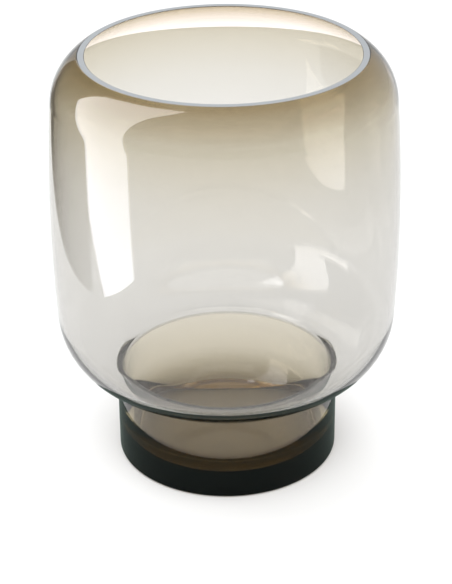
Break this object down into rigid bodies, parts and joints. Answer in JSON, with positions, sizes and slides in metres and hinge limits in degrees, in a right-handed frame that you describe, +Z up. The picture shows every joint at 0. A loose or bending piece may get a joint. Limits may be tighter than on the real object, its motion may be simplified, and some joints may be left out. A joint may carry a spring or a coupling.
{
  "type": "footed glass vase",
  "caption": "Barrel-shaped smoke-tinted glass vase with a narrowed, ground-flat mouth and a thick hollow cylindrical foot; holds cut flowers and water.",
  "frame": {"origin": "centre of the foot's underside, on the surface that the vase stands on", "axes": "+Z up along the turning axis, from the foot to the mouth; the vase is the same all round, so +X and +Y are any two level directions"},
  "size_m": [0.1686, 0.1686, 0.21],
  "materials": {
    "bowl_glass": "polished smoke-brown blown glass, deepest at the shoulder and fading to nearly clear low on the bowl",
    "foot_glass": "polished thick smoke-brown glass, nearly black through the base"
  },
  "bodies": {
    "root": {"bowl": "bowl_glass", "foot": "foot_glass"}
  },
  "joints": []
}
